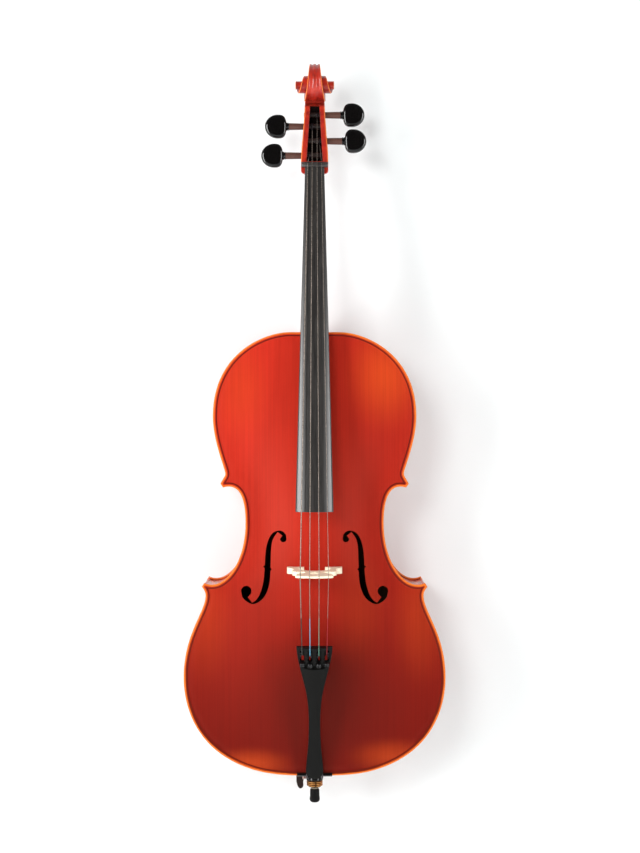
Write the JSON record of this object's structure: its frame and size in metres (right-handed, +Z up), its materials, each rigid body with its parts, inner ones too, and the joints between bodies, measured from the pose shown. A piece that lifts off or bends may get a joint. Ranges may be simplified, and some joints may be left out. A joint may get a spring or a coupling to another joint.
{
  "type": "cello",
  "caption": "Full-size cello with carved plates, scroll, pegs, bridge, fine-tuner tailpiece, strings and sliding endpin.",
  "frame": {"origin": "middle of the flat underside of the endpin's rubber tip, with the endpin pushed fully in", "axes": "+Z up the instrument from endpin to scroll, -Y out of the belly, +X towards the treble side"},
  "size_m": [0.446, 0.2603, 1.288],
  "materials": {
    "varnished_spruce": "straight-grained spruce under glossy red-orange varnish",
    "varnished_maple": "flamed maple under glossy red-orange varnish",
    "bare_wood": "plain unfinished wood",
    "bridge_maple": "pale unvarnished maple with dark flecks",
    "ebony_board": "satin oiled ebony",
    "ebony": "polished ebony",
    "tailpiece_composite": "satin black composite",
    "tuner_black": "black plated metal, knurled",
    "string_steel": "flat-wound steel with coloured silk at the ends",
    "tailgut_cord": "smooth black cord",
    "brass": "aged brass with a knurled rim",
    "rod_steel": "polished steel",
    "tip_rubber": "matte black rubber"
  },
  "bodies": {
    "root": {"belly": "varnished_spruce", "back": "varnished_maple", "lower_rib_left": "varnished_maple", "lower_rib_right": "varnished_maple", "waist_rib_left": "varnished_maple", "waist_rib_right": "varnished_maple", "upper_rib_left": "varnished_maple", "upper_rib_right": "varnished_maple", "lower_lining_front_left": "bare_wood", "lower_lining_front_right": "bare_wood", "lower_lining_back_left": "bare_wood", "lower_lining_back_right": "bare_wood", "waist_lining_front_left": "bare_wood", "waist_lining_front_right": "bare_wood", "waist_lining_back_left": "bare_wood", "waist_lining_back_right": "bare_wood", "upper_lining_front_left": "bare_wood", "upper_lining_front_right": "bare_wood", "upper_lining_back_left": "bare_wood", "upper_lining_back_right": "bare_wood", "lower_corner_block_left": "bare_wood", "lower_corner_block_right": "bare_wood", "upper_corner_block_left": "bare_wood", "upper_corner_block_right": "bare_wood", "bottom_block": "bare_wood", "top_block": "bare_wood", "bass_bar": "bare_wood", "sound_post": "bare_wood", "neck": "varnished_maple", "fingerboard": "ebony_board", "nut": "ebony_board", "bridge": "bridge_maple", "tailpiece": "tailpiece_composite", "tailgut": "tailgut_cord", "saddle": "ebony", "endpin_socket": "ebony", "endpin_collar": "brass", "string_c": "string_steel", "string_g": "string_steel", "string_d": "string_steel", "string_a": "string_steel"},
    "peg_c": {"peg_c": "ebony"},
    "peg_a": {"peg_a": "ebony"},
    "peg_g": {"peg_g": "ebony"},
    "peg_d": {"peg_d": "ebony"},
    "tuner_lever_c": {"fine_tuner_lever_c": "tuner_black"},
    "tuner_screw_c": {"fine_tuner_screw_c": "tuner_black"},
    "tuner_lever_g": {"fine_tuner_lever_g": "tuner_black"},
    "tuner_screw_g": {"fine_tuner_screw_g": "tuner_black"},
    "tuner_lever_d": {"fine_tuner_lever_d": "tuner_black"},
    "tuner_screw_d": {"fine_tuner_screw_d": "tuner_black"},
    "tuner_lever_a": {"fine_tuner_lever_a": "tuner_black"},
    "tuner_screw_a": {"fine_tuner_screw_a": "tuner_black"},
    "endpin": {"endpin_rod": "rod_steel", "endpin_tip": "tip_rubber"},
    "thumbscrew": {"endpin_thumbscrew": "ebony"}
  },
  "joints": [
    {"name": "peg_c_turn", "type": "hinge", "parent": "root", "child": "peg_c", "pos_m": [0, -0.01629, 1.1217], "axis": [1, 0, 0], "continuous": true},
    {"name": "peg_a_turn", "type": "hinge", "parent": "root", "child": "peg_a", "pos_m": [0, -0.00601, 1.1486], "axis": [1, 0, 0], "continuous": true},
    {"name": "peg_g_turn", "type": "hinge", "parent": "root", "child": "peg_g", "pos_m": [0, 0.00446, 1.176], "axis": [1, 0, 0], "continuous": true},
    {"name": "peg_d_turn", "type": "hinge", "parent": "root", "child": "peg_d", "pos_m": [0, 0.01267, 1.1975], "axis": [1, 0, 0], "continuous": true},
    {"name": "tuner_screw_c_turn", "type": "hinge", "parent": "root", "child": "tuner_screw_c", "pos_m": [-0.0205, -0.12888, 0.25918], "axis": [0, 0.9617, 0.274], "range_deg": [0, 1080]},
    {"name": "tuner_lever_c_tilt", "type": "hinge", "parent": "root", "child": "tuner_lever_c", "pos_m": [-0.0205, -0.12543, 0.27264], "axis": [1, 0, 0], "range_deg": [0, 8]},
    {"name": "tuner_screw_g_turn", "type": "hinge", "parent": "root", "child": "tuner_screw_g", "pos_m": [-0.0073, -0.13182, 0.25834], "axis": [0, 0.9617, 0.274], "range_deg": [0, 1080]},
    {"name": "tuner_lever_g_tilt", "type": "hinge", "parent": "root", "child": "tuner_lever_g", "pos_m": [-0.0073, -0.12837, 0.2718], "axis": [1, 0, 0], "range_deg": [0, 8]},
    {"name": "tuner_screw_d_turn", "type": "hinge", "parent": "root", "child": "tuner_screw_d", "pos_m": [0.0073, -0.13182, 0.25834], "axis": [0, 0.9617, 0.274], "range_deg": [0, 1080]},
    {"name": "tuner_lever_d_tilt", "type": "hinge", "parent": "root", "child": "tuner_lever_d", "pos_m": [0.0073, -0.12837, 0.2718], "axis": [1, 0, 0], "range_deg": [0, 8]},
    {"name": "tuner_screw_a_turn", "type": "hinge", "parent": "root", "child": "tuner_screw_a", "pos_m": [0.0205, -0.12888, 0.25918], "axis": [0, 0.9617, 0.274], "range_deg": [0, 1080]},
    {"name": "tuner_lever_a_tilt", "type": "hinge", "parent": "root", "child": "tuner_lever_a", "pos_m": [0.0205, -0.12543, 0.27264], "axis": [1, 0, 0], "range_deg": [0, 8]},
    {"name": "endpin_slide", "type": "slide", "parent": "root", "child": "endpin", "axis": [0, 0, -1], "range_m": [0, 0.35]},
    {"name": "thumbscrew_turn", "type": "hinge", "parent": "root", "child": "thumbscrew", "pos_m": [-0.02, 0, 0.043], "axis": [-1, 0, 0], "range_deg": [0, 720]}
  ],
  "couplings": [
    {"joint": "tuner_lever_c_tilt", "follows": "tuner_screw_c_turn", "ratio": 0.006},
    {"joint": "tuner_lever_g_tilt", "follows": "tuner_screw_g_turn", "ratio": 0.006},
    {"joint": "tuner_lever_d_tilt", "follows": "tuner_screw_d_turn", "ratio": 0.006},
    {"joint": "tuner_lever_a_tilt", "follows": "tuner_screw_a_turn", "ratio": 0.006}
  ]
}
